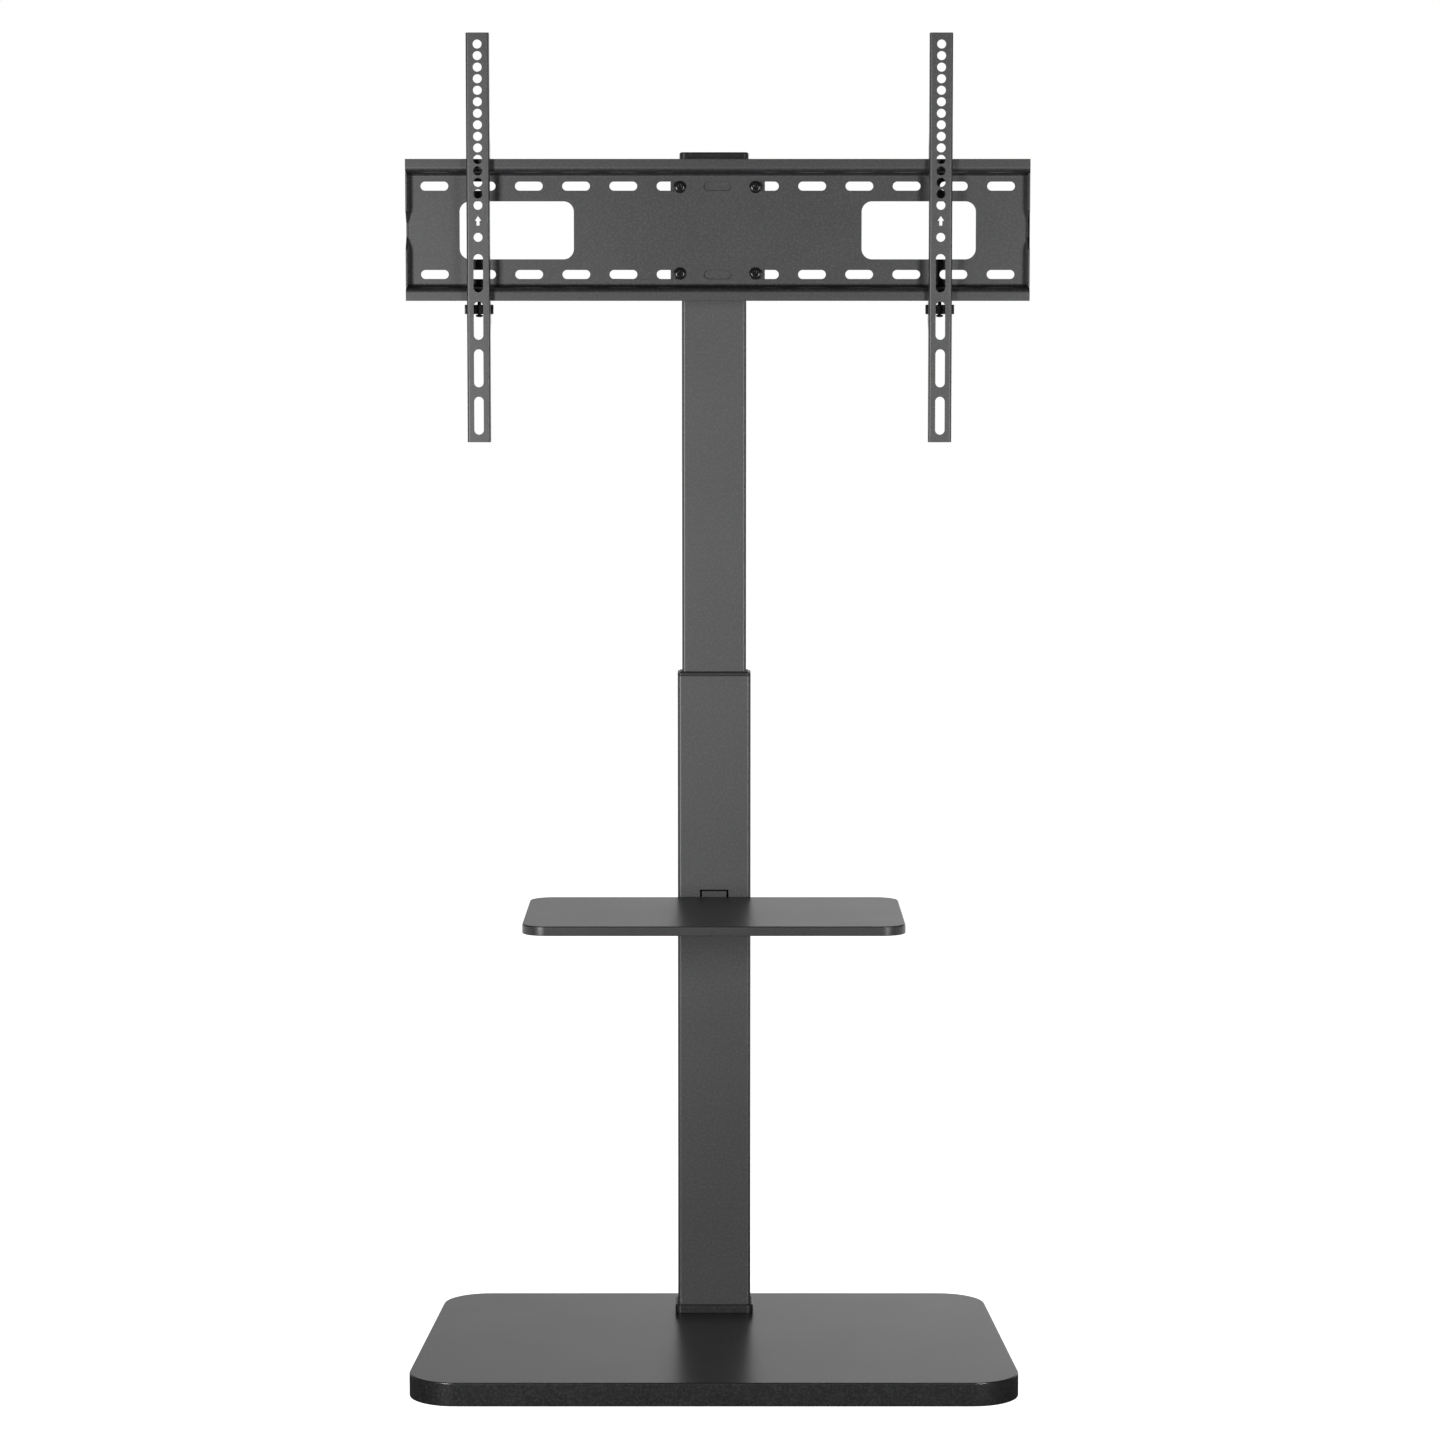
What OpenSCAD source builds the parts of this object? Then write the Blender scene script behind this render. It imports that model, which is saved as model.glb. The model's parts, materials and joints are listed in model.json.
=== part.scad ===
// Free-standing television floor stand: a weighted base, a telescopic column with a shelf,
// and a swivelling head whose folded mounting plate carries two hook-on arms.
// Origin: centre of the base's footprint on the floor. +X right, +Y back, +Z up.
// The television hangs in front of the arms, on the -Y side.

/* [Base] */
// Width of the base along its front edge
base_front_w = 642; // [600:1:700]
// Width of the base along its back edge
base_back_w = 600; // [560:5:660]
// Depth of the base
base_d = 405; // [380:5:440]
// Thickness of the base board
base_t = 25; // [20:1:30]
// Radius of the base's corners in plan
base_r = 50; // [40:1:70]
// Diameter of a floor pad
pad_dia = 28; // [20:1:34]
// Thickness of a floor pad
pad_t = 3; // [2:0.5:4]
// How far a floor pad stands below the board
pad_stand = 0.5; // [0.5:0.25:2]
// Distance of the outer pads' centres from the board's edges
pad_inset = 48; // [40:1:60]

/* [Column foot] */
// Distance of the column's axis from the base's back edge
col_inset = 74.5; // [60:0.5:100]
// Width of the steel clamp plate under the board
clamp_w = 110; // [100:1:130]
// Depth of the clamp plate
clamp_d = 60; // [52:1:70]
// Thickness of the clamp plate
clamp_t = 3; // [2:0.5:4]
// Depth of the pocket that hides the clamp plate and the bolt heads
clamp_pocket = 10; // [9:0.5:11]
// Thickness of the plate welded inside the column's foot
foot_plate_t = 8; // [6:1:12]
// Spacing of the base bolts across the column
foot_bolt_dx = 52; // [46:1:56]
// Spacing of the base bolts from front to back
foot_bolt_dy = 17; // [15:1:19]
// Width of the trim collar beyond the column on each side
collar_wall = 3; // [2:0.5:6]
// Height of the trim collar
collar_h = 9.5; // [8:0.5:16]

/* [Column] */
// Width of the outer tube
outer_w = 80; // [78:1:90]
// Depth of the outer tube
outer_d = 40; // [38:1:50]
// Length of the outer tube
outer_l = 708; // [680:1:740]
// Corner radius of the outer tube
outer_r = 4; // [3:0.5:6]
// Width of the inner tube
inner_w = 70; // [66:1:70]
// Depth of the inner tube
inner_d = 30; // [28:1:30]
// Length of the inner tube
inner_l = 700; // [680:1:720]
// Corner radius of the inner tube
inner_r = 3.5; // [3:0.5:5]
// Wall of both tubes
tube_wall = 2; // [1.5:0.1:2.2]
// Length of the inner tube that is left inside the outer one as photographed
mast_in = 134; // [126:1:190]
// Length of the plastic guide inside the top of the outer tube
guide_l = 60; // [40:1:80]
// Height of the guide's rim above the outer tube
guide_rim_h = 3.5; // [2:0.5:6]
// Length of the slider fixed in the lower end of the inner tube
slider_l = 8; // [6:1:14]
// Height of the column's plastic top cap
cap_h = 10; // [8:0.5:16]
// Distance of the upper lock screw below the outer tube's top
lock_z = 84; // [80:1:90]
// Spacing of the two lock screws
lock_pitch = 30; // [24:1:32]

/* [Shelf] */
// Width of the shelf
shelf_w = 402; // [340:1:460]
// Depth of the shelf
shelf_d = 230; // [200:1:260]
// Height of the shelf's folded rim
shelf_h = 10; // [8:0.5:14]
// Thickness of the shelf's sheet
shelf_t = 1.5; // [1:0.1:2]
// Corner radius of the shelf in plan
shelf_r = 25; // [16:1:40]
// Height of the shelf's top above the base's top
shelf_z = 465; // [420:1:500]
// Width of the hook that hangs in the column's slot
hook_w = 27; // [20:1:32]
// Reach of the shelf's bracket arms
shelf_arm_l = 140; // [110:1:160]
// Height of the shelf's bracket at the column
shelf_arm_h = 40; // [34:1:44]
// Thickness of the steel that the shelf's bracket is folded from
hook_t = 3; // [2:0.5:3]

/* [Swivel] */
// Distance from the inner tube's face to the pivot
pivot_reach = 49; // [46:1:54]
// Distance from the pivot to the mounting plate's back face
pivot_gap = 48; // [44:1:54]
// Width of the swivel tongues
tongue_w = 50; // [44:1:56]
// Height of the column bracket
bracket_h = 120; // [114:1:124]
// Thickness of the column bracket's steel
bracket_t = 4; // [3:0.5:5]
// Thickness of the swivel plate's steel
swivel_t = 3; // [2.5:0.5:4]
// Width of the swivel plate
swivel_w = 100; // [94:1:110]
// Thickness of a friction washer
washer_t = 1; // [0.8:0.1:1.5]
// Diameter of the pivot bolts
pivot_dia = 10; // [8:0.5:10]

/* [Mounting plate] */
// Width of the mounting plate
plate_w = 660; // [640:1:700]
// Height of the mounting plate over its lips
plate_h = 149; // [147:1:156]
// Depth of the mounting plate's folded section
plate_d = 16; // [14:0.5:20]
// Height of the channel between the two webs
channel_h = 120; // [117:1:121]
// Thickness of the mounting plate's steel
plate_t = 2; // [1.5:0.1:2.5]
// Number of slots in a row
slot_n = 13; // [9:2:13]
// Pitch of the slots
slot_pitch = 50; // [46:1:50]
// Length of a slot
slot_l = 29.4; // [26:0.2:32]
// Width of a slot
slot_w = 9.5; // [8:0.5:10]
// Distance between the two slot rows
row_dz = 93; // [92:1:95]
// Width of a window
window_w = 121; // [100:1:124]
// Height of a window
window_h = 61; // [50:1:64]
// Corner radius of a window
window_r = 11; // [6:1:14]
// Distance of a window's centre from the plate's centre
window_x = 213; // [208:1:218]
// Spacing across of the four screws that hold the plate
screw_dx = 80; // [80:1:84]
// Spacing in height of the four screws that hold the plate
screw_dz = 91; // [91:0.5:93]
// Height of the plate's centre below the inner tube's top
head_drop = 84.5; // [80:0.5:100]
// Sideways offset of the head from the column, as photographed
head_x = 4; // [0:1:6]

/* [Arms] */
// Length of an arm
arm_l = 429; // [400:1:450]
// Width of an arm
arm_w = 24.4; // [24:0.2:26]
// Depth of an arm's flanges
arm_d = 12; // [10:0.5:16]
// Thickness of an arm's steel
arm_t = 2; // [1.5:0.1:2.5]
// Height of an arm's lower end below the plate's centre
arm_drop = 223.5; // [210:0.5:240]
// Place of the left arm along the plate, from the plate's centre
left_arm_x = -252.5; // [-290:0.5:-120]
// Place of the right arm along the plate, from the plate's centre
right_arm_x = 235; // [120:0.5:290]
// Diameter of the round holes
arm_hole_dia = 9.4; // [8:0.2:10]
// Pitch of the round holes
arm_hole_pitch = 12; // [11.5:0.1:12.2]
// Number of round holes in the upper row
arm_hole_n = 15; // [12:1:15]
// Length of a long slot
arm_slot_l = 40; // [36:1:42]
// Width of a long slot
arm_slot_w = 10; // [8:0.5:11]
// Pitch of the long slots
arm_slot_pitch = 50; // [48:1:50]
// Number of long slots
arm_slot_n = 4; // [3:1:4]
// Depth of the hook behind the plate's upper lip
hook_drop = 8.5; // [6:0.5:10]
// Size of the lock bar's square section
lock_bar = 10; // [8:0.5:11]
// How far the lock bar stands out of each flange
lock_bar_out = 3.1; // [2:0.1:4]
// Diameter of the lock screw
lock_dia = 4; // [3:0.5:4]

/* [Hidden] */
$fn = 64;

// Overrun that lets a cut pass cleanly through a face
over = 1;
// Gap between parts that slide past each other
slide_gap = 0.3;
// Gap between parts that are pushed together
push_gap = 0.15;
// Radial gap between a pin and the bore that turns or slides on it
bore_gap = 0.05;
// Radial gap of a clearance hole around a screw
hole_gap = 0.3;

// Paint and plastic colours
steel_black = "#3b3b3d";
board_black = "#343436";
plastic_black = "#202022";
screw_black = "#161617";

// Heights of the base and the column
board_z = pad_stand;
base_top = board_z + base_t;
outer_top = base_top + outer_l;
inner_bottom = outer_top - mast_in;
inner_top = inner_bottom + inner_l;
head_z = inner_top - head_drop;

// Bolts that hold the column's foot
foot_bolt_r = 4;
foot_head_r = 6.5;
foot_head_h = 4.5;
clamp_z = board_z + clamp_pocket - clamp_t;
clamp_gap = 1;
foot_socket_r = 3;

// Depth positions of the column's axis and faces
col_y = base_d / 2 - col_inset;
outer_front = col_y - outer_d / 2;
outer_back = col_y + outer_d / 2;
inner_front = col_y - inner_d / 2;
inner_back = col_y + inner_d / 2;
bore_w = outer_w - 2 * tube_wall;
bore_d = outer_d - 2 * tube_wall;
bore_r = outer_r - tube_wall;
inner_bore_w = inner_w - 2 * tube_wall;
inner_bore_d = inner_d - 2 * tube_wall;
inner_bore_r = inner_r - tube_wall;

// Guide, slider and cap
guide_lip_h = 1.2;
guide_lip_in = 2.2;
slider_plug_l = 18;
slider_plug_wall = 2.5;
slider_relief_d = 2.6;
slider_relief_w = 46;
cap_rim = 2.5;
cap_top = 2;
cap_plug_l = 12;
cap_plug_wall = 2;

// Column lock screws
lock_screw_r = 4;
lock_nut_r = 7.5;
lock_nut_h = 6;
lock_head_r = 6.5;
lock_head_h = 8;
lock_stand = 6;
lock_socket_r = 3.4;

// Shelf fixing
shelf_top = base_top + shelf_z;
tray_y = outer_front - hook_t;
hook_rise = 6.5;
hook_wall = 1.8;
hook_lead = 0.2;
hook_tail = 7;
slot_side = 2;
shelf_plate_w = 60;
shelf_weld_w = 24;
shelf_arm_tip_h = 14;
shelf_screw_r = 2.5;
shelf_screw_dx = 36;
shelf_screw_drop = 30;
shelf_screw_tip = 0.4;
shelf_head_r = 4.6;
shelf_head_h = 2.6;

// Swivel joint
pivot_y = inner_front - pivot_reach;
plate_back = pivot_y - pivot_gap;
plate_front = plate_back - plate_d;
tongue_r = tongue_w / 2;
bracket_w = inner_w;
bracket_top = head_z + bracket_h / 2;
bracket_bottom = head_z - bracket_h / 2;
swivel_h = bracket_h - 2 * bracket_t - 2 * washer_t;
swivel_top = head_z + swivel_h / 2;
swivel_bottom = head_z - swivel_h / 2;
pivot_r = pivot_dia / 2;
pivot_head_r = 9.2;
pivot_head_h = 6.4;
pivot_nut_r = 9.2;
pivot_nut_h = 8;
pivot_tail = 2;
friction_r = 15;
bracket_screw_r = 3;
bracket_screw_dx = 44;
bracket_screw_dz = 76;
bracket_head_r = 5.5;
bracket_head_h = 3.3;
bracket_nut_r = 5.7;
bracket_nut_h = 5;

// Depths below the bracket's outer face, down each pivot bolt
washer_over = bracket_t + washer_t;
washer_under = washer_over + swivel_t + washer_t;
nut_under = washer_under + pivot_nut_h;

// Mounting plate and its screws
panel_front = plate_back - plate_t;
bend_in = 4;
bend_out = bend_in + plate_t;
end_set = 1;
notch_d = 12;
notch_top_h = 41;
notch_floor_h = 15;
screw_r = 3;
screw_head_r = 5.6;
screw_head_h = 3.3;
screw_socket_r = 2.3;
screw_washer_r = 6.6;
screw_washer_t = 1.2;
screw_nut_r = 5.7;
screw_nut_h = 5;
screw_tail = 1.5;

// Arms
arm_r = 2.5;
arm_bottom = head_z - arm_drop;
arm_front = plate_front - slide_gap - arm_d;
arm_top_margin = 12;
arm_low_margin = 28;
arrow_drop = 16.2;
arrow_w = 6.9;
arrow_h = 10;
arrow_head_h = 5;
arrow_stem_w = 3.2;
low_hole_drop = 33.5;
lip_top = plate_h / 2 + arm_drop;
lip_bottom = arm_drop - plate_h / 2;
finger_t = 6;
finger_gap = 0.7;
hook_bridge_h = 12;
hook_run_h = 14;
hook_nose = 3;
ear_d = 24;
ear_h = 22;
ear_run_h = 10;
bar_drop = 4;
bar_gap = 0.1;
bar_y = 5;
bar_depth = arm_d + slide_gap + bar_y;
bar_top = lip_bottom - bar_drop;
lock_head_dia = 8;
lock_cap_h = 3.2;
lock_reach = 6.5;
lock_slot_w = 1;

// Shares of a screw head used for its rounded top
dome_side_share = 0.3;
dome_flat_share = 0.62;
socket_depth_share = 0.6;

// Turn between the points of a screw head's oval shoulder, in degrees
dome_step = 22.5;

function unit(v) = v / norm(v);
function inward(a, b) = let (d = unit(b - a)) [-d[1], d[0]];
function corner_centre(p, before, after, r) =
    let (n1 = inward(before, p), n2 = inward(p, after))
    p + r * (n1 + n2) / (1 + n1 * n2);

// Convex outline, counterclockwise, with true arcs at its corners
module rounded_outline(points, r) {
    last = len(points);
    centres = [for (i = [0:last - 1])
        corner_centre(points[i], points[(i + last - 1) % last], points[(i + 1) % last], r)];
    polygon([for (i = [0:last - 1], side = [0, 1])
        let (from = points[(i + last - 1 + side) % last], to = points[(i + side) % last])
        centres[i] - r * inward(from, to)]);
    for (c = centres) {
        translate(c) circle(r = r);
    }
}

module rounded_rect(w, d, r) {
    rounded_outline([[-w / 2, -d / 2], [w / 2, -d / 2], [w / 2, d / 2], [-w / 2, d / 2]], r);
}

module rounded_block(w, d, h, r) {
    linear_extrude(height = h) rounded_rect(w, d, r);
}

// Slot outline that runs along X
module slot_outline(l, w) {
    square([l - w, w], center = true);
    for (side = [-1, 1]) {
        translate([side * (l - w) / 2, 0]) circle(r = w / 2);
    }
}

// Cylinder along +Y from the given point
module rod_back(x, y, z, l, r) {
    translate([x, y, z]) rotate([-90, 0, 0]) cylinder(h = l, r = r);
}

// Rounded head that stands on z = 0: a short upright side, an oval shoulder and a flat top
module round_head(r, h) {
    side = h * dome_side_share;
    flat = r * dome_flat_share;
    rotate_extrude() polygon(concat([[0, 0]],
        [for (a = [0:dome_step:90]) [flat + (r - flat) * cos(a), side + (h - side) * sin(a)]], [[0, h]]));
}

// Round rod with a domed socket head; the head stands on z = 0 and the rod goes down
module button_screw(r, l, head_r, head_h, socket_r) {
    difference() {
        union() {
            translate([0, 0, -l]) cylinder(h = l + head_h * dome_side_share, r = r);
            round_head(head_r, head_h);
        }
        translate([0, 0, head_h * (1 - socket_depth_share)])
            cylinder(h = head_h, r = socket_r, $fn = 6);
    }
}

// Hexagonal nut that stands on z = 0
module hex_nut(bore, corner_r, h) {
    difference() {
        cylinder(h = h, r = corner_r, $fn = 6);
        translate([0, 0, -over]) cylinder(h = h + 2 * over, r = bore);
    }
}

// Quarter of a bent strip, from +X to +Y about the origin, turned by quarter turns
module bend(turns) {
    rotate(turns * 90) intersection() {
        difference() {
            circle(r = bend_out);
            circle(r = bend_in);
        }
        square(bend_out);
    }
}

// Solid extruded along X from an outline drawn as depth and height
module along_x(l) {
    translate([-l / 2, 0, 0]) rotate([90, 0, 90]) linear_extrude(height = l) children();
}

// Base

module base_outline() {
    rounded_outline([
        [-base_front_w / 2, -base_d / 2], [base_front_w / 2, -base_d / 2],
        [base_back_w / 2, base_d / 2], [-base_back_w / 2, base_d / 2]
    ], base_r);
}

// Places of the floor pads: three along the front, one in the centre and two at the back
module at_pads() {
    children();
    for (side = [-1, 0, 1]) {
        translate([side * (base_front_w / 2 - pad_inset - base_r / 2), pad_inset - base_d / 2, 0])
            children();
    }
    for (side = [-1, 1]) {
        translate([side * (base_back_w / 2 - pad_inset - base_r / 2), base_d / 2 - pad_inset, 0])
            children();
    }
}

module at_foot_bolts() {
    for (sx = [-1, 1], sy = [-1, 1]) {
        translate([sx * foot_bolt_dx / 2, col_y + sy * foot_bolt_dy / 2, 0]) children();
    }
}

module base_board() {
    color(board_black) difference() {
        translate([0, 0, board_z]) linear_extrude(height = base_t) base_outline();
        at_pads() cylinder(h = pad_t, r = pad_dia / 2);
        translate([0, col_y, board_z - over])
            rounded_block(clamp_w + 2 * clamp_gap, clamp_d + 2 * clamp_gap, clamp_pocket + over, base_t / 3);
        at_foot_bolts() cylinder(h = base_top + over, r = foot_bolt_r + hole_gap);
    }
}

module floor_pads() {
    color(plastic_black) at_pads() cylinder(h = pad_t, r = pad_dia / 2);
}

module clamp_plate() {
    color(steel_black) difference() {
        translate([0, col_y, clamp_z]) rounded_block(clamp_w, clamp_d, clamp_t, base_t / 3 - clamp_gap);
        at_foot_bolts() cylinder(h = base_top, r = foot_bolt_r + hole_gap);
    }
}

module base_bolts() {
    color(screw_black) at_foot_bolts() translate([0, 0, clamp_z]) mirror([0, 0, 1])
        button_screw(foot_bolt_r, base_top + foot_plate_t - clamp_z, foot_head_r, foot_head_h, foot_socket_r);
}

module foot_plate() {
    color(steel_black) difference() {
        translate([0, col_y, base_top]) rounded_block(bore_w, bore_d, foot_plate_t, bore_r);
        at_foot_bolts() cylinder(h = base_top + foot_plate_t + over, r = foot_bolt_r + bore_gap);
    }
}

module column_collar() {
    w = outer_w + 2 * collar_wall;
    d = outer_d + 2 * collar_wall;
    top_in = collar_wall / 3;
    color(plastic_black) translate([0, col_y, base_top]) difference() {
        union() {
            rounded_block(w, d, collar_h - top_in, outer_r + collar_wall);
            rounded_block(w - 2 * top_in, d - 2 * top_in, collar_h, outer_r + collar_wall - top_in);
        }
        translate([0, 0, -over])
            rounded_block(outer_w + 2 * push_gap, outer_d + 2 * push_gap, collar_h + 2 * over, outer_r + push_gap);
    }
}

// Outer column

module outer_tube() {
    hook_slot_h = hook_rise + hook_tail + slot_side;
    color(steel_black) difference() {
        translate([0, col_y, base_top]) difference() {
            rounded_block(outer_w, outer_d, outer_l, outer_r);
            translate([0, 0, -over]) rounded_block(bore_w, bore_d, outer_l + 2 * over, bore_r);
        }
        // Slot for the shelf's hook
        translate([-hook_w / 2 - slot_side, outer_front - over, shelf_top + hook_rise + slot_side / 2 - hook_slot_h])
            cube([hook_w + 2 * slot_side, tube_wall + 2 * over, hook_slot_h]);
        // Holes for the shelf's screws
        for (side = [-1, 1]) {
            rod_back(side * shelf_screw_dx / 2, outer_front - over, shelf_top - shelf_screw_drop,
                tube_wall + 2 * over, shelf_screw_r + bore_gap);
        }
        // Holes for the lock screws
        for (k = [0, 1]) {
            rod_back(0, outer_back - tube_wall - over, outer_top - lock_z - k * lock_pitch,
                tube_wall + 2 * over, lock_screw_r + hole_gap);
        }
    }
}

module guide_bushing() {
    hole_w = inner_w + 2 * slide_gap;
    hole_d = inner_d + 2 * slide_gap;
    color(plastic_black) translate([0, col_y, outer_top]) difference() {
        union() {
            translate([0, 0, -guide_l])
                rounded_block(bore_w - 2 * push_gap, bore_d - 2 * push_gap, guide_l + push_gap, bore_r);
            rounded_block(outer_w, outer_d, guide_rim_h, outer_r);
            rounded_block(outer_w - 2 * guide_lip_in, outer_d - 2 * guide_lip_in, guide_rim_h + guide_lip_h, outer_r);
        }
        translate([0, 0, -guide_l - over])
            rounded_block(hole_w, hole_d, guide_l + guide_rim_h + guide_lip_h + 2 * over, inner_r + slide_gap);
    }
}

module lock_nuts() {
    color(screw_black) for (k = [0, 1]) {
        translate([0, outer_back, outer_top - lock_z - k * lock_pitch]) rotate([-90, 0, 0])
            hex_nut(lock_screw_r + bore_gap, lock_nut_r, lock_nut_h);
    }
}

module lock_screws() {
    head_y = outer_back + lock_nut_h + lock_stand;
    color(screw_black) for (k = [0, 1]) {
        translate([0, head_y, outer_top - lock_z - k * lock_pitch]) rotate([-90, 0, 0]) difference() {
            union() {
                translate([0, 0, inner_back + slide_gap - head_y])
                    cylinder(h = head_y - inner_back - slide_gap, r = lock_screw_r);
                cylinder(h = lock_head_h, r = lock_head_r);
            }
            translate([0, 0, lock_head_h * (1 - socket_depth_share)])
                cylinder(h = lock_head_h, r = lock_socket_r, $fn = 6);
        }
    }
}

// Shelf

module shelf_tray() {
    color(steel_black) translate([0, tray_y - shelf_d / 2, shelf_top - shelf_h]) difference() {
        rounded_block(shelf_w, shelf_d, shelf_h, shelf_r);
        translate([0, 0, -over])
            rounded_block(shelf_w - 2 * shelf_t, shelf_d - 2 * shelf_t, shelf_h - shelf_t + over, shelf_r - shelf_t);
        // Room in the rear rim for the bracket's arms
        translate([-shelf_plate_w / 2, 0, -over])
            cube([shelf_plate_w, shelf_d, shelf_h - shelf_t + over]);
    }
}

// Folded bracket: back plate with the hook, and two arms with flanges under the tray
module shelf_bracket() {
    t = hook_t;
    under = shelf_top - shelf_t;
    back_y = outer_front - t;
    hook_top = shelf_top + hook_rise;
    hook_in = outer_front + tube_wall + hook_lead;
    color(steel_black) union() {
        difference() {
            translate([-shelf_plate_w / 2, back_y, under - shelf_arm_h])
                cube([shelf_plate_w, t, shelf_arm_h]);
            for (side = [-1, 1]) {
                rod_back(side * shelf_screw_dx / 2, back_y - over, shelf_top - shelf_screw_drop,
                    t + 2 * over, shelf_screw_r + hole_gap);
            }
        }
        translate([-hook_w / 2, back_y, under - t]) cube([hook_w, t, hook_top - under + t]);
        translate([-hook_w / 2, back_y, hook_top - t]) cube([hook_w, hook_in + hook_wall - back_y, t]);
        translate([-hook_w / 2, hook_in, hook_top - hook_tail - t]) cube([hook_w, hook_wall, hook_tail + t]);
        for (side = [-1, 1]) {
            translate([side * (shelf_plate_w - t) / 2, 0, 0]) along_x(t) polygon([
                [back_y + t, under - shelf_arm_h], [back_y + t, under],
                [back_y - shelf_arm_l, under], [back_y - shelf_arm_l, under - shelf_arm_tip_h]
            ]);
            translate([side * (shelf_plate_w - shelf_weld_w) / 2, back_y - shelf_arm_l / 2, under - t / 2])
                cube([shelf_weld_w, shelf_arm_l, t], center = true);
        }
    }
}

module shelf_screws() {
    color(screw_black) for (side = [-1, 1]) {
        translate([side * shelf_screw_dx / 2, outer_front - hook_t, shelf_top - shelf_screw_drop])
            rotate([90, 0, 0])
            button_screw(shelf_screw_r, hook_t + tube_wall + shelf_screw_tip, shelf_head_r, shelf_head_h,
                shelf_screw_r * dome_flat_share);
    }
}

// Inner column

module at_bracket_screws() {
    for (sx = [-1, 1], sz = [-1, 1]) {
        translate([sx * bracket_screw_dx / 2, 0, head_z + sz * bracket_screw_dz / 2]) children();
    }
}

module inner_tube() {
    color(steel_black) difference() {
        translate([0, col_y, inner_bottom]) difference() {
            rounded_block(inner_w, inner_d, inner_l, inner_r);
            translate([0, 0, -over]) rounded_block(inner_bore_w, inner_bore_d, inner_l + 2 * over, inner_bore_r);
        }
        at_bracket_screws() rod_back(0, inner_front - over, 0, tube_wall + 2 * over, bracket_screw_r + hole_gap);
    }
}

module lower_slider() {
    w = bore_w - 2 * slide_gap;
    d = bore_d - 2 * slide_gap;
    plug_w = inner_bore_w - 2 * push_gap;
    plug_d = inner_bore_d - 2 * push_gap;
    color(plastic_black) translate([0, col_y, inner_bottom]) difference() {
        union() {
            translate([0, 0, -slider_l]) rounded_block(w, d, slider_l, bore_r);
            rounded_block(plug_w, plug_d, slider_plug_l, inner_bore_r);
        }
        translate([0, 0, -slider_l - over])
            rounded_block(plug_w - 2 * slider_plug_wall, plug_d - 2 * slider_plug_wall,
                slider_l + slider_plug_l + 2 * over, inner_bore_r);
        // Relief that passes the shelf's hook and screws
        translate([-slider_relief_w / 2, -d / 2 - over, -slider_l - over])
            cube([slider_relief_w, slider_relief_d + over, slider_l + over]);
    }
}

module top_cap() {
    w = inner_w + 2 * cap_rim;
    d = inner_d + 2 * cap_rim;
    plug_w = inner_bore_w - 2 * push_gap;
    plug_d = inner_bore_d - 2 * push_gap;
    color(plastic_black) translate([0, col_y, inner_top]) {
        difference() {
            union() {
                translate([0, 0, cap_top - cap_h]) rounded_block(w, d, cap_h - cap_top / 2, inner_r + cap_rim);
                translate([0, 0, cap_top - cap_h])
                    rounded_block(w - cap_top, d - cap_top, cap_h, inner_r + cap_rim - cap_top / 2);
            }
            translate([0, 0, cap_top - cap_h - over])
                rounded_block(inner_w + 2 * push_gap, inner_d + 2 * push_gap, cap_h - cap_top + over, inner_r + push_gap);
        }
        translate([0, 0, -cap_plug_l]) difference() {
            rounded_block(plug_w, plug_d, cap_plug_l, inner_bore_r);
            translate([0, 0, -over])
                rounded_block(plug_w - 2 * cap_plug_wall, plug_d - 2 * cap_plug_wall, cap_plug_l + over, inner_bore_r);
        }
    }
}

// Swivel

// Flat tongue with a round end at the pivot, from the given depth to the pivot
module tongue(from_y, t, bore) {
    translate([0, pivot_y, 0]) difference() {
        linear_extrude(height = t) {
            circle(r = tongue_r);
            translate([-tongue_r, min(0, from_y - pivot_y)]) square([tongue_w, abs(from_y - pivot_y)]);
        }
        translate([0, 0, -over]) cylinder(h = t + 2 * over, r = bore);
    }
}

module column_bracket() {
    bore = pivot_r + bore_gap;
    color(steel_black) difference() {
        union() {
            translate([-bracket_w / 2, inner_front - bracket_t, bracket_bottom])
                cube([bracket_w, bracket_t, bracket_h]);
            translate([0, 0, bracket_bottom]) tongue(inner_front - bracket_t, bracket_t, bore);
            translate([0, 0, bracket_top - bracket_t]) tongue(inner_front - bracket_t, bracket_t, bore);
        }
        at_bracket_screws()
            rod_back(0, inner_front - bracket_t - over, 0, bracket_t + 2 * over, bracket_screw_r + hole_gap);
    }
}

module bracket_screws() {
    color(screw_black) at_bracket_screws() translate([0, inner_front - bracket_t, 0]) rotate([90, 0, 0])
        button_screw(bracket_screw_r, bracket_t + tube_wall + bracket_nut_h, bracket_head_r, bracket_head_h,
            bracket_screw_r * dome_flat_share);
}

module bracket_nuts() {
    color(screw_black) at_bracket_screws() translate([0, inner_front + tube_wall, 0]) rotate([-90, 0, 0])
        hex_nut(bracket_screw_r + bore_gap, bracket_nut_r, bracket_nut_h);
}

// Places an upward-facing stack at the upper pivot and its mirror image at the lower one
module at_pivots() {
    translate([0, pivot_y, bracket_top]) children();
    translate([0, pivot_y, bracket_bottom]) mirror([0, 0, 1]) children();
}

module pivot_bolts() {
    bolt_l = nut_under + pivot_tail;
    color(screw_black) at_pivots() {
        translate([0, 0, -bolt_l]) cylinder(h = bolt_l, r = pivot_r);
        cylinder(h = pivot_head_h, r = pivot_head_r, $fn = 6);
    }
}

module pivot_nuts() {
    color(screw_black) at_pivots() translate([0, 0, -nut_under])
        hex_nut(pivot_r + bore_gap, pivot_nut_r, pivot_nut_h);
}

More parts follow.
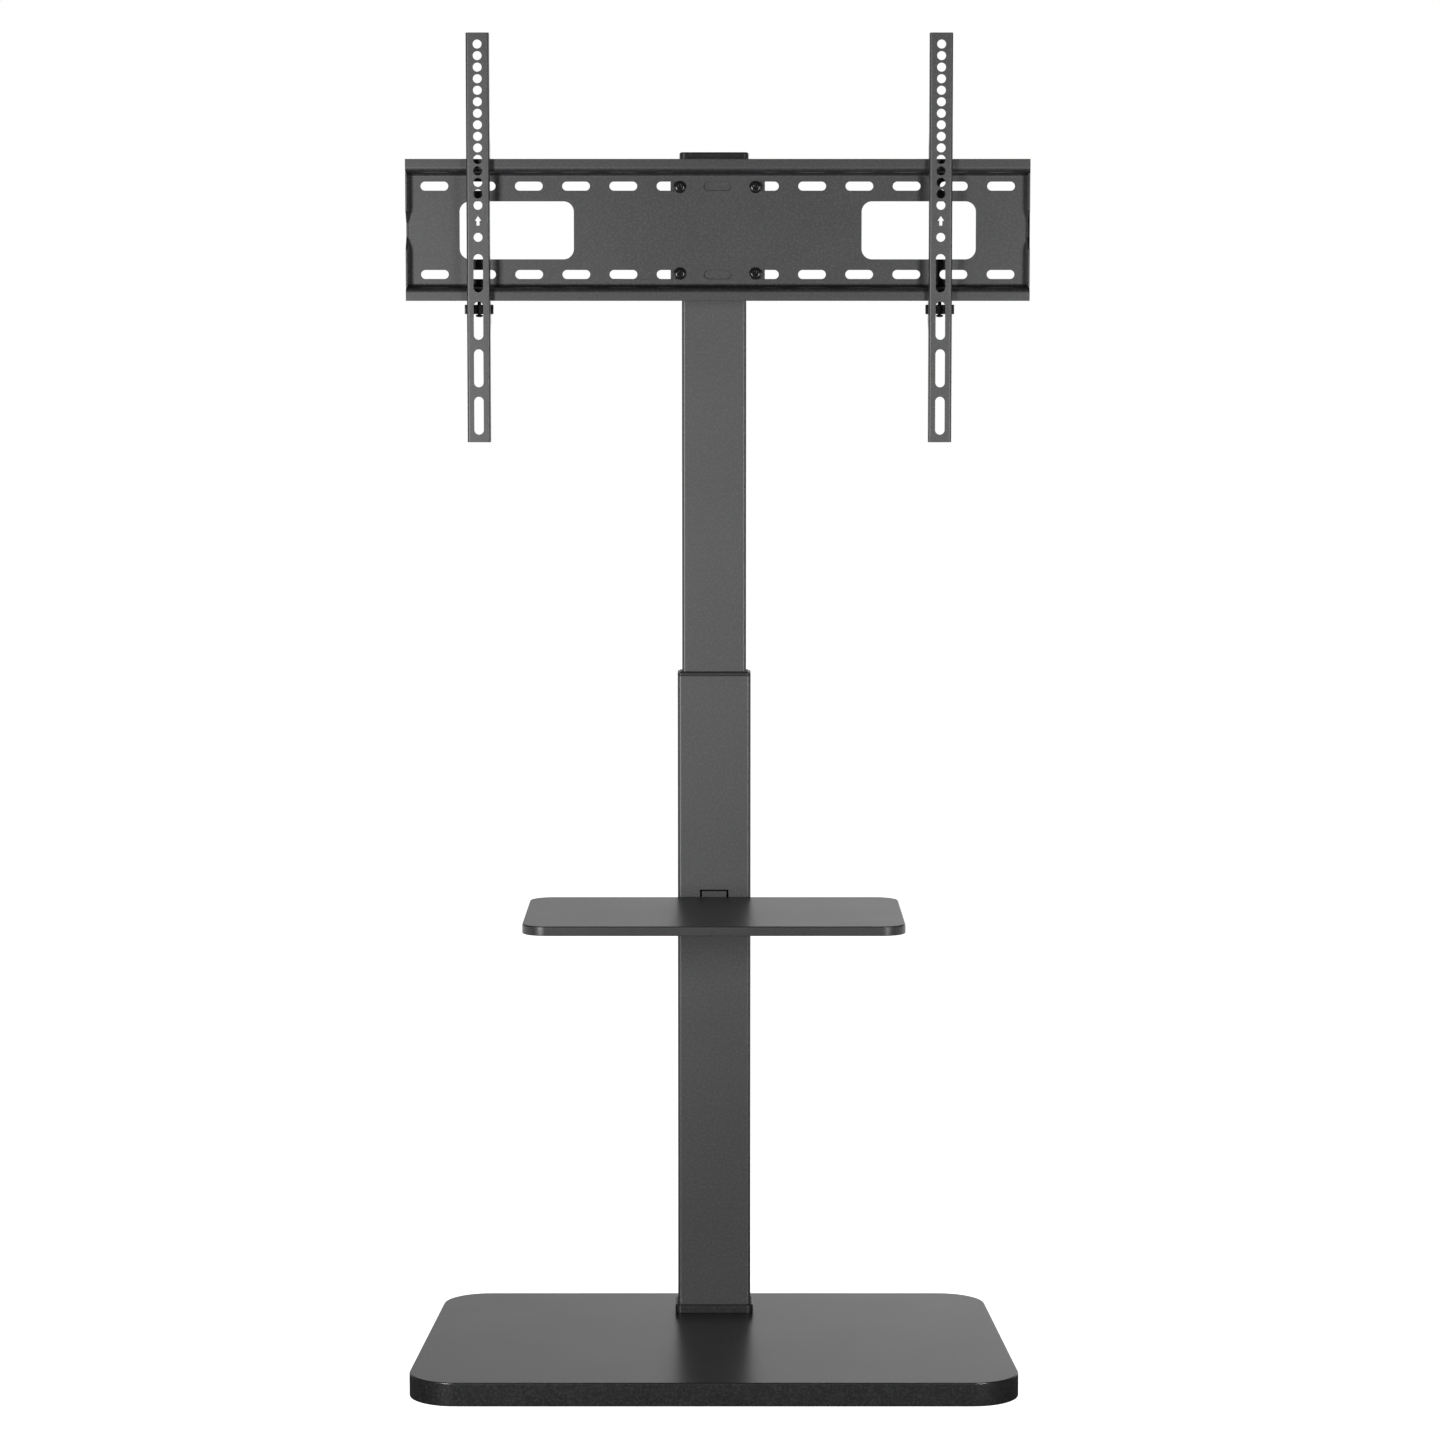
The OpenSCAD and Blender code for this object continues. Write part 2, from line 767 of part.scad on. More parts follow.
module friction_washers() {
    color("#d8d8d4") at_pivots() for (z = [washer_over, washer_under]) {
        translate([0, 0, -z]) difference() {
            cylinder(h = washer_t, r = friction_r);
            translate([0, 0, -over]) cylinder(h = washer_t + 2 * over, r = pivot_r + bore_gap);
        }
    }
}

module at_plate_screws() {
    for (sx = [-1, 1], sz = [-1, 1]) {
        translate([head_x + sx * screw_dx / 2, 0, head_z + sz * screw_dz / 2]) children();
    }
}

module swivel_plate() {
    bore = pivot_r + bore_gap;
    color(steel_black) difference() {
        union() {
            translate([head_x - swivel_w / 2, plate_back, swivel_bottom]) cube([swivel_w, swivel_t, swivel_h]);
            translate([0, 0, swivel_bottom]) tongue(plate_back + swivel_t, swivel_t, bore);
            translate([0, 0, swivel_top - swivel_t]) tongue(plate_back + swivel_t, swivel_t, bore);
        }
        at_plate_screws() rod_back(0, plate_back - over, 0, swivel_t + 2 * over, screw_r + hole_gap);
    }
}

// Mounting plate

// Hat section: lips, webs and panel with true bends; depth from the lips' front, height from the centre
module hat_outline() {
    web = channel_h / 2;
    lip = plate_h / 2 - web - bend_out;
    for (side = [0, 1]) {
        mirror([0, side]) {
            translate([0, web + bend_out]) square([plate_t, lip]);
            translate([bend_out, web + bend_out]) bend(2);
            translate([bend_out, web]) square([plate_d - 2 * bend_out, plate_t]);
            translate([plate_d - bend_out, web + plate_t - bend_out]) bend(0);
            translate([plate_d - plate_t, 0]) square([plate_t, web + plate_t - bend_out]);
        }
    }
}

// End flange with its trapezoid notch and with corners cut off where the bends pass
module end_outline() {
    web = channel_h / 2;
    floor_y = end_set + notch_d;
    back_y = plate_d - plate_t;
    cut = bend_in / 2;
    polygon([
        [back_y, cut - web], [back_y, web - cut], [back_y - cut, web], [end_set, web],
        [end_set, notch_top_h / 2], [floor_y, notch_floor_h / 2],
        [floor_y, -notch_floor_h / 2], [end_set, -notch_top_h / 2], [end_set, -web], [back_y - cut, -web]
    ]);
}

module mount_plate() {
    color(steel_black) translate([head_x, plate_front, head_z]) union() {
        difference() {
            along_x(plate_w) hat_outline();
            translate([0, plate_d + over, 0]) rotate([90, 0, 0]) linear_extrude(height = plate_t + 2 * over) {
                for (k = [0:slot_n - 1], sz = [-1, 1]) {
                    translate([(k - (slot_n - 1) / 2) * slot_pitch, sz * row_dz / 2]) slot_outline(slot_l, slot_w);
                }
                for (side = [-1, 1]) {
                    translate([side * window_x, 0]) rounded_rect(window_w, window_h, window_r);
                }
            }
        }
        for (side = [-1, 1]) {
            translate([side * (plate_w - plate_t) / 2, 0, 0]) along_x(plate_t) end_outline();
        }
    }
}

module plate_screws() {
    l = screw_washer_t + plate_t + swivel_t + screw_nut_h + screw_tail;
    color(screw_black) at_plate_screws() translate([0, panel_front - screw_washer_t, 0]) rotate([90, 0, 0])
        button_screw(screw_r, l, screw_head_r, screw_head_h, screw_socket_r);
}

module plate_washers() {
    color(screw_black) at_plate_screws() translate([0, panel_front, 0]) rotate([90, 0, 0]) difference() {
        cylinder(h = screw_washer_t, r = screw_washer_r);
        translate([0, 0, -over]) cylinder(h = screw_washer_t + 2 * over, r = screw_r + hole_gap);
    }
}

module plate_nuts() {
    color(screw_black) at_plate_screws() translate([0, plate_back + swivel_t, 0]) rotate([-90, 0, 0])
        hex_nut(screw_r + bore_gap, screw_nut_r, screw_nut_h);
}

// Arms, drawn with the face at depth 0 and the lower end at height 0

// Open channel section
module channel_outline() {
    difference() {
        union() {
            translate([-arm_w / 2, arm_r]) square([arm_w, arm_d - arm_r]);
            translate([arm_r - arm_w / 2, 0]) square([arm_w - 2 * arm_r, arm_r]);
            for (side = [-1, 1]) {
                translate([side * (arm_w / 2 - arm_r), arm_r]) circle(r = arm_r);
            }
        }
        translate([arm_t - arm_w / 2, arm_t]) square([arm_w - 2 * arm_t, arm_d]);
    }
}

// Hook over the plate's upper lip, as depth and height
module hook_outline() {
    lip_back = arm_d + slide_gap + plate_t;
    finger = lip_back + finger_gap;
    base = lip_top + slide_gap;
    polygon([
        [arm_t, base], [finger, base], [finger, lip_top - hook_drop],
        [finger + finger_t - hook_nose, lip_top - hook_drop],
        [finger + finger_t, lip_top - hook_drop + hook_nose],
        [finger + finger_t, base + hook_bridge_h],
        [arm_d, base + hook_bridge_h + hook_run_h], [arm_t, base + hook_bridge_h + hook_run_h]
    ]);
}

// Ear under the plate's lower lip that carries the lock bar
module ear_outline() {
    top = lip_bottom - slide_gap;
    polygon([
        [arm_t, top], [arm_t, top - ear_h - ear_run_h], [arm_d, top - ear_h - ear_run_h],
        [ear_d, top - ear_h], [ear_d, top]
    ]);
}

module arrow_outline() {
    polygon([
        [0, arrow_h / 2], [arrow_w / 2, arrow_h / 2 - arrow_head_h],
        [arrow_stem_w / 2, arrow_h / 2 - arrow_head_h], [arrow_stem_w / 2, -arrow_h / 2],
        [-arrow_stem_w / 2, -arrow_h / 2], [-arrow_stem_w / 2, arrow_h / 2 - arrow_head_h],
        [-arrow_w / 2, arrow_h / 2 - arrow_head_h]
    ]);
}

module arm() {
    last_hole = arm_l - arm_top_margin - (arm_hole_n - 1) * arm_hole_pitch;
    difference() {
        union() {
            linear_extrude(height = arm_l) channel_outline();
            for (side = [-1, 1]) {
                translate([side * (arm_w - arm_t) / 2, 0, 0]) {
                    along_x(arm_t) hook_outline();
                    along_x(arm_t) ear_outline();
                }
            }
        }
        translate([0, arm_t + over, 0]) rotate([90, 0, 0]) linear_extrude(height = arm_t + 2 * over) {
            for (k = [0:arm_hole_n - 1]) {
                translate([0, arm_l - arm_top_margin - k * arm_hole_pitch]) circle(r = arm_hole_dia / 2);
            }
            translate([0, last_hole - arrow_drop]) arrow_outline();
            translate([0, last_hole - low_hole_drop]) circle(r = arm_hole_dia / 2);
            for (k = [0:arm_slot_n - 1]) {
                translate([0, arm_low_margin + k * arm_slot_pitch]) rotate(90) slot_outline(arm_slot_l, arm_slot_w);
            }
        }
        translate([0, bar_depth, bar_top - lock_bar / 2])
            cube([arm_w + 2 * over, lock_bar + 2 * bar_gap, lock_bar + 2 * bar_gap], center = true);
    }
}

module lock_bar_piece() {
    difference() {
        translate([0, bar_depth, bar_top - lock_bar / 2])
            cube([arm_w + 2 * lock_bar_out, lock_bar, lock_bar], center = true);
        translate([0, bar_depth, bar_top - lock_bar - over])
            cylinder(h = lock_bar + 2 * over, r = lock_dia / 2 + bore_gap);
    }
}

module lock_screw_piece() {
    seat_depth = lock_cap_h * dome_side_share;
    translate([0, bar_depth, bar_top - lock_bar]) {
        translate([0, 0, -seat_depth]) cylinder(h = seat_depth + lock_bar + bar_drop + lock_reach, r = lock_dia / 2);
        difference() {
            mirror([0, 0, 1]) round_head(lock_head_dia / 2, lock_cap_h);
            translate([0, 0, -lock_cap_h])
                cube([lock_head_dia + over, lock_slot_w, lock_cap_h], center = true);
        }
    }
}

module at_arm(x) {
    translate([head_x + x, arm_front, arm_bottom]) children();
}

module left_arm() {
    color(steel_black) at_arm(left_arm_x) arm();
}

module left_lock_bar() {
    color(screw_black) at_arm(left_arm_x) lock_bar_piece();
}

module left_lock_screw() {
    color(screw_black) at_arm(left_arm_x) lock_screw_piece();
}

module right_arm() {
    color(steel_black) at_arm(right_arm_x) arm();
}

module right_lock_bar() {
    color(screw_black) at_arm(right_arm_x) lock_bar_piece();
}

module right_lock_screw() {
    color(screw_black) at_arm(right_arm_x) lock_screw_piece();
}

base_board();
floor_pads();
clamp_plate();
base_bolts();
foot_plate();
column_collar();
outer_tube();
guide_bushing();
lock_nuts();
lock_screws();
shelf_tray();
shelf_bracket();
shelf_screws();
inner_tube();
lower_slider();
top_cap();
column_bracket();
bracket_screws();
bracket_nuts();
pivot_bolts();
pivot_nuts();
friction_washers();
swivel_plate();
mount_plate();
plate_screws();
plate_washers();
plate_nuts();
left_arm();
left_lock_bar();
left_lock_screw();
right_arm();
right_lock_bar();
right_lock_screw();
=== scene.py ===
import json
import math

import bmesh
import bpy
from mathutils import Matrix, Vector


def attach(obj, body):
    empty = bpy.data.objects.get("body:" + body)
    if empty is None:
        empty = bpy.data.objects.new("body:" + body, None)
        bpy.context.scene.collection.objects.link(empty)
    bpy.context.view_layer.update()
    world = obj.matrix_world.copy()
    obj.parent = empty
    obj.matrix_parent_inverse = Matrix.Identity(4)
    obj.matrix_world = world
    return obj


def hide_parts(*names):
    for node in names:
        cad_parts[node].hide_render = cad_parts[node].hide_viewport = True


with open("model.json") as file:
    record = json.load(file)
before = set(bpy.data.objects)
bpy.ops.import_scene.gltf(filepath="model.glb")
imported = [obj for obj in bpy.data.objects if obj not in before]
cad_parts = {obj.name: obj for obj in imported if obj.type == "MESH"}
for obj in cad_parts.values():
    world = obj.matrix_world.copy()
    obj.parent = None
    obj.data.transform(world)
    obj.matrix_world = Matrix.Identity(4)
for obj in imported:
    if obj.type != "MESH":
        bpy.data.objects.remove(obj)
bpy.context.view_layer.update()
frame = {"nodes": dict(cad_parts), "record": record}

MM = 0.001
BODY_OF = {n: body for body, nodes in frame["record"]["behaviour"]["bodies"].items() for n in nodes}
SLOT_OF = {row["node"]: row["material_slot"] for row in frame["record"]["subparts"]}

# Width of the arris on the edges of each node, in millimetres
ARRIS = {
    "base_board": 0.9, "floor_pads": 0.8, "column_collar": 0.5, "guide_bushing": 0.45, "top_cap": 0.6,
    "shelf_tray": 0.5, "shelf_bracket": 0.4, "outer_tube": 0.25, "inner_tube": 0.25, "mount_plate": 0.3,
    "left_arm": 0.3, "right_arm": 0.3, "left_lock_bar": 0.6, "right_lock_bar": 0.6,
    "column_bracket": 0.45, "swivel_plate": 0.4, "clamp_plate": 0.4, "pivot_bolts": 0.45,
    "pivot_nuts": 0.4, "lock_nuts": 0.4, "lock_screws": 0.35,
}
USUAL_ARRIS = 0.2
ARRIS_SEGMENTS = 2
# Width of the bend along the upper outline of the pieces that have one, in millimetres
RIM_BEND = {"shelf_tray": 1.5, "base_board": 1.3}
RIM_SEGMENTS = 4
# An edge is rounded where its faces turn by more than SHARP_ANGLE; below FLAT_ANGLE they become one face
SHARP_ANGLE = math.radians(32)
FLAT_ANGLE = math.radians(0.3)
WELD_DISTANCE = 0.002 * MM
# A face is upright if its normal rises or falls by less than this
UPRIGHT = 0.35


# Materials

# What all finishes share: roughness of the grain's noise, depth of the grain, size of the gloss speckle
# in grains, change of gloss with the mottle, and the speckle's values at which rubbing starts and is full
GRAIN_ROUGHNESS = 0.6
GRAIN_DEPTH = 0.05 * MM
SPECK_GRAINS = 4
MOTTLE_GLOSS = 0.006
RUB_START = 0.45
RUB_FULL = 0.65


def add(tree, kind, **sockets):
    """New node; a value named i3 goes to input 3, any other to the input of its name, linked if a socket."""
    made = tree.nodes.new(kind)
    for name, value in sockets.items():
        by_number = name[0] == "i" and name[1:].isdigit()
        target = made.inputs[int(name[1:]) if by_number else name.replace("_", " ")]
        if isinstance(value, bpy.types.NodeSocket):
            tree.links.new(value, target)
        else:
            target.default_value = value
    return made


def grain_noise(tree, place, size_mm, detail, rough=0.5):
    """Noise whose features are about size_mm across."""
    made = add(tree, "ShaderNodeTexNoise", Vector=place, Scale=1 / (size_mm * MM), Detail=detail,
               Roughness=rough)
    return made.outputs["Fac"]


def spread(tree, value, low, high, from_low=0.3, from_high=0.7):
    """Maps a value between from_low and from_high, by default a noise's, to the range from low to high."""
    made = add(tree, "ShaderNodeMapRange", Value=value, From_Min=from_low, From_Max=from_high,
               To_Min=low, To_Max=high)
    return made.outputs["Result"]


def blend_colour(tree, share, first, second):
    """Colour between first and second, each a socket or three numbers, by the socket share."""
    made = tree.nodes.new("ShaderNodeMix")
    made.data_type = "RGBA"
    share_in, first_in, second_in, colour_out = 0, 6, 7, 2
    tree.links.new(share, made.inputs[share_in])
    for place, colour in ((first_in, first), (second_in, second)):
        if isinstance(colour, bpy.types.NodeSocket):
            tree.links.new(colour, made.inputs[place])
        else:
            made.inputs[place].default_value = (*colour, 1)
    return made.outputs[colour_out]


def finish_material(name, dark, light, worn, rough, grain_mm, bump, mottle_mm=60, specular=0.5, wear=0.5,
                    speckle=0.012):
    """Fine-grained finish: mottled colour, uneven gloss, a bumped grain and edges that are rubbed lighter."""
    material = bpy.data.materials.new(name)
    material.use_nodes = True
    tree = material.node_tree
    shader = tree.nodes["Principled BSDF"]
    place = add(tree, "ShaderNodeTexCoord").outputs["Object"]
    mottle = grain_noise(tree, place, mottle_mm, detail=3)
    grain = grain_noise(tree, place, grain_mm, detail=3, rough=GRAIN_ROUGHNESS)
    speck = grain_noise(tree, place, grain_mm * SPECK_GRAINS, detail=2)
    # Mottle and grain each give half of the way from dark to light
    shade = add(tree, "ShaderNodeMath", i0=spread(tree, mottle, 0, 0.5), i1=spread(tree, grain, 0, 0.5))
    colour = blend_colour(tree, shade.outputs[0], dark, light)
    edge = add(tree, "ShaderNodeAttribute")
    edge.attribute_name = "edge_wear"
    rub = add(tree, "ShaderNodeMath", i0=edge.outputs["Fac"],
              i1=spread(tree, speck, 0, wear, RUB_START, RUB_FULL))
    rub.operation = "MULTIPLY"
    tree.links.new(blend_colour(tree, rub.outputs[0], colour, worn), shader.inputs["Base Color"])
    gloss = add(tree, "ShaderNodeMath", i0=spread(tree, speck, rough - speckle, rough + speckle),
                i1=spread(tree, mottle, -MOTTLE_GLOSS, MOTTLE_GLOSS))
    tree.links.new(gloss.outputs[0], shader.inputs["Roughness"])
    relief = add(tree, "ShaderNodeBump", Strength=bump, Distance=GRAIN_DEPTH, Height=grain)
    tree.links.new(relief.outputs["Normal"], shader.inputs["Normal"])
    shader.inputs["Specular IOR Level"].default_value = specular
    return material


# Each finish: its name in Blender, then its dark, light and rubbed colours, then its surface
MATERIALS = {
    "steel_black": finish_material(
        "powder_coated_steel", (0.007, 0.007, 0.0073), (0.012, 0.012, 0.0125), (0.05, 0.05, 0.052),
        rough=0.43, grain_mm=0.6, bump=0.08, specular=0.53, wear=0.25, speckle=0.006),
    # The tube and channel coats are the plate's powder coat made lighter and shinier: partly painted light,
    # the brightness the lamps give the column and arms, and partly their own grain and mottle
    "tube_black": finish_material(
        "powder_coated_tube_painted_light", (0.008, 0.008, 0.0083), (0.013, 0.013, 0.0135), (0.05, 0.05, 0.052),
        rough=0.44, grain_mm=0.6, bump=0.12, mottle_mm=90, specular=0.64, wear=0.25, speckle=0.006),
    "arm_black": finish_material(
        "powder_coated_channel_painted_light", (0.009, 0.009, 0.0093), (0.015, 0.015, 0.0155), (0.06, 0.06, 0.062),
        rough=0.44, grain_mm=0.6, bump=0.12, mottle_mm=45, specular=0.64, wear=0.25, speckle=0.006),
    "tray_black": finish_material(
        "powder_coated_tray", (0.008, 0.008, 0.0083), (0.013, 0.013, 0.0135), (0.05, 0.05, 0.052),
        rough=0.38, grain_mm=0.6, bump=0.12, mottle_mm=80, specular=0.55, wear=0.1, speckle=0.006),
    "board_black": finish_material(
        "black_laminate", (0.003, 0.003, 0.0033), (0.006, 0.006, 0.0064), (0.015, 0.015, 0.0155),
        rough=0.31, grain_mm=0.8, bump=0.2, mottle_mm=90, specular=0.38),
    "edge_black": finish_material(
        "glossy_edge_band", (0.004, 0.004, 0.0043), (0.007, 0.007, 0.0073), (0.03, 0.03, 0.031),
        rough=0.29, grain_mm=0.5, bump=0.012, mottle_mm=40, specular=0.75, speckle=0.006),
    "plastic_black": finish_material(
        "moulded_plastic", (0.005, 0.005, 0.0053), (0.009, 0.009, 0.0093), (0.02, 0.02, 0.021),
        rough=0.42, grain_mm=0.5, bump=0.15, specular=0.3),
    "cap_black": finish_material(
        "moulded_cap", (0.006, 0.006, 0.0063), (0.01, 0.01, 0.0104), (0.03, 0.03, 0.031),
        rough=0.4, grain_mm=0.5, bump=0.12, mottle_mm=30, specular=0.75),
    "screw_black": finish_material(
        "black_oxide_steel", (0.004, 0.004, 0.0043), (0.008, 0.008, 0.0085), (0.05, 0.049, 0.047),
        rough=0.17, grain_mm=0.4, bump=0.05, mottle_mm=6, wear=0.2),
    "washer_nylon": finish_material(
        "natural_nylon", (0.50, 0.50, 0.47), (0.62, 0.62, 0.59), (0.66, 0.66, 0.63),
        rough=0.45, grain_mm=0.6, bump=0.1),
    "pad_rubber": finish_material(
        "soft_rubber", (0.010, 0.010, 0.010), (0.018, 0.018, 0.018), (0.03, 0.03, 0.03),
        rough=0.7, grain_mm=0.5, bump=0.5),
}

# Pieces whose finish isn't the usual one of their slot. The tubes and arms get lighter, shinier copies of the
# plate's powder coat: partly painted light, the extra brightness the lamps give them
FINISH_OF = {
    "outer_tube": "tube_black", "inner_tube": "tube_black", "left_arm": "arm_black", "right_arm": "arm_black",
    "shelf_tray": "tray_black", "top_cap": "cap_black",
}


# Pieces

def sharp_edges(work):
    return [e for e in work.edges if len(e.link_faces) == 2 and e.calc_face_angle(0) > SHARP_ANGLE]


def rim_edges(work):
    """The sharp edges of the level face on top of the piece."""
    top = max(v.co.z for v in work.verts)
    return [e for e in sharp_edges(work) if all(top - v.co.z < WELD_DISTANCE for v in e.verts)]


def round_edges(work, edges, width, segments):
    if edges:
        bmesh.ops.bevel(work, geom=edges, offset=width, segments=segments, profile=0.5, affect="EDGES",
                        clamp_overlap=False, loop_slide=True)


def stay_inside(work, low, high):
    """Puts back what an arris has moved past the box of the solid, as happens at narrow notches."""
    for vert in work.verts:
        vert.co = [min(max(vert.co[i], low[i]), high[i]) for i in range(3)]


def put_in_order(elements, place):
    """Sorts vertices or faces by place, as bevels can leave them in an order that changes from run to run."""
    elements.index_update()
    order = {element.index: rank for rank, element in enumerate(sorted(elements, key=place))}
    elements.sort(key=lambda element: order[element.index])
    elements.index_update()


def add_edge_band(mesh):
    """Gives the upright faces of the board their own glossier finish, as an edge band has."""
    mesh.materials.append(MATERIALS["edge_black"])
    for face in mesh.polygons:
        if abs(face.normal.z) < UPRIGHT:
            face.material_index = 1


def finished_mesh(node):
    """Mesh of the node's shape, its flat faces made whole and its sharp edges given a rounded arris."""
    work = bmesh.new()
    work.from_mesh(frame["nodes"][node].data)
    low = [min(v.co[i] for v in work.verts) for i in range(3)]
    high = [max(v.co[i] for v in work.verts) for i in range(3)]
    bmesh.ops.remove_doubles(work, verts=work.verts, dist=WELD_DISTANCE)
    bmesh.ops.dissolve_limit(work, angle_limit=FLAT_ANGLE, verts=work.verts, edges=work.edges)
    if node in RIM_BEND:
        round_edges(work, rim_edges(work), RIM_BEND[node] * MM, RIM_SEGMENTS)
    old = set(work.faces)
    round_edges(work, sharp_edges(work), ARRIS.get(node, USUAL_ARRIS) * MM, ARRIS_SEGMENTS)
    stay_inside(work, low, high)
    wear = work.verts.layers.float.new("edge_wear")
    for face in work.faces:
        face.smooth = True
        if face not in old:
            for vert in face.verts:
                vert[wear] = 1.0
    put_in_order(work.verts, lambda vert: vert.co[:])
    put_in_order(work.faces, lambda face: sorted(vert.index for vert in face.verts))
    mesh = bpy.data.meshes.new(node + "_finished")
    work.to_mesh(mesh)
    work.free()
    return mesh


def add_piece(node):
    """Visible piece that stands in for the node, with the node's finish."""
    mesh = finished_mesh(node)
    piece = bpy.data.objects.new(node + "_finished", mesh)
    bpy.context.scene.collection.objects.link(piece)
    normals = piece.modifiers.new("face_normals", "WEIGHTED_NORMAL")
    normals.keep_sharp = True
    slot = SLOT_OF[node]
    mesh.materials.append(MATERIALS[FINISH_OF.get(node, slot)])
    if node == "base_board":
        add_edge_band(mesh)
    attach(piece, BODY_OF[node])
    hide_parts(node)


# Studio: lengths in metres, brightness in parts of the photograph's white

# The photograph's camera, as fitted to the edges of the object
PHOTO_PIXELS = 1440
FOCAL_PIXELS = 4124.2
SENSOR_MM = 36.0
CAMERA_PLACE = (0.0064, -4.3854, 1.0998)
CAMERA_TILT = math.radians(5.271)

# Two soft boxes in front of the stand, one on each side, both turned to its middle
BOX_X = 1.3
BOX_Y = -2.4
BOX_Z = 0.82
BOX_WIDTH = 0.55
BOX_HEIGHT = 1.0
LEFT_BOX = 35.5
RIGHT_BOX = 23.5
# Watts for each square metre of a rectangular light that give it a radiance of 1
RADIANCE_WATTS = 4

# The world's glow for the object: low down behind it at the left and at the right, overhead, and all round
BEHIND_LEFT = 0.9
BEHIND_RIGHT = 2.2
ABOVE = 0.6
AROUND = 0.03
# Where each glow starts and where it is full, on one axis of the unit direction. BEHIND_X is where the
# left glow starts to change to the right one, and where it has changed.
BEHIND_Y = (0.4, 0.8)
BEHIND_Z = (0.4, 0.12)
BEHIND_X = (-0.3, 0.3)
ABOVE_Z = (0.5, 0.8)
ABOVE_Y = (0.0, 0.4)

# The floor: half its width, its colour and brightness for the camera, and its colour for the object
FLOOR_HALF = 30.0
FLOOR_TONE = 0.85
FLOOR_WHITE = 0.95
FLOOR_BOUNCE = 0.12
FLOOR_ROUGHNESS = 0.9
# Its glow for the object, and the distances behind the stand at which that starts and is full.
# SIDE_SHARE of the distance to the left or right counts as distance behind.
FLOOR_GLOW = 1.3
GLOW_START = 0.3
GLOW_FULL = 1.3
SIDE_SHARE = 0.8


def make_camera():
    """Camera of the photograph: a long lens 1.1 m above the floor, tilted down."""
    data = bpy.data.cameras.new("photo_camera")
    data.sensor_width = SENSOR_MM
    data.lens = SENSOR_MM * FOCAL_PIXELS / PHOTO_PIXELS
    camera = bpy.data.objects.new("photo_camera", data)
    camera.location = CAMERA_PLACE
    camera.rotation_euler = (math.radians(90) - CAMERA_TILT, 0, 0)
    bpy.context.scene.collection.objects.link(camera)
    bpy.context.scene.camera = camera


def make_world():
    """White to the eye; to the object, bright low down behind, fainter overhead at the back, else dim."""
    world = bpy.data.worlds.new("studio_world")
    bpy.context.scene.world = world
    world.use_nodes = True
    tree = world.node_tree
    background = tree.nodes["Background"]
    axes = add(tree, "ShaderNodeSeparateXYZ", Vector=add(tree, "ShaderNodeTexCoord").outputs["Generated"])

    def rise(axis, start, full):
        """Goes smoothly from 0 to 1 as the axis goes from start to full."""
        made = add(tree, "ShaderNodeMapRange", Value=axes.outputs[axis], From_Min=start, From_Max=full)
        made.interpolation_type = "SMOOTHSTEP"
        return made.outputs["Result"]

    def times(a, b):
        made = add(tree, "ShaderNodeMath", i0=a, i1=b)
        made.operation = "MULTIPLY"
        return made.outputs[0]

    def plus(a, b):
        return add(tree, "ShaderNodeMath", i0=a, i1=b).outputs[0]

    tone = plus(times(rise("X", *BEHIND_X), BEHIND_RIGHT - BEHIND_LEFT), BEHIND_LEFT)
    behind = times(times(rise("Y", *BEHIND_Y), rise("Z", *BEHIND_Z)), tone)
    above = times(times(rise("Z", *ABOVE_Z), rise("Y", *ABOVE_Y)), ABOVE)
    lit = plus(plus(behind, above), AROUND)
    seen = add(tree, "ShaderNodeLightPath").outputs["Is Camera Ray"]
    made = add(tree, "ShaderNodeMix", i0=seen, i2=lit, i3=1.0)
    tree.links.new(made.outputs[0], background.inputs["Strength"])
    background.inputs["Color"].default_value = (1, 1, 1, 1)


def soft_light(name, place, target, width, height, radiance):
    """Rectangular light of the given radiance that the camera doesn't see."""
    data = bpy.data.lights.new(name, "AREA")
    data.shape = "RECTANGLE"
    data.size = width
    data.size_y = height
    data.energy = RADIANCE_WATTS * width * height * radiance
    light = bpy.data.objects.new(name, data)
    light.location = place
    light.rotation_euler = (Vector(target) - Vector(place)).to_track_quat("-Z", "Y").to_euler()
    light.visible_camera = False
    bpy.context.scene.collection.objects.link(light)


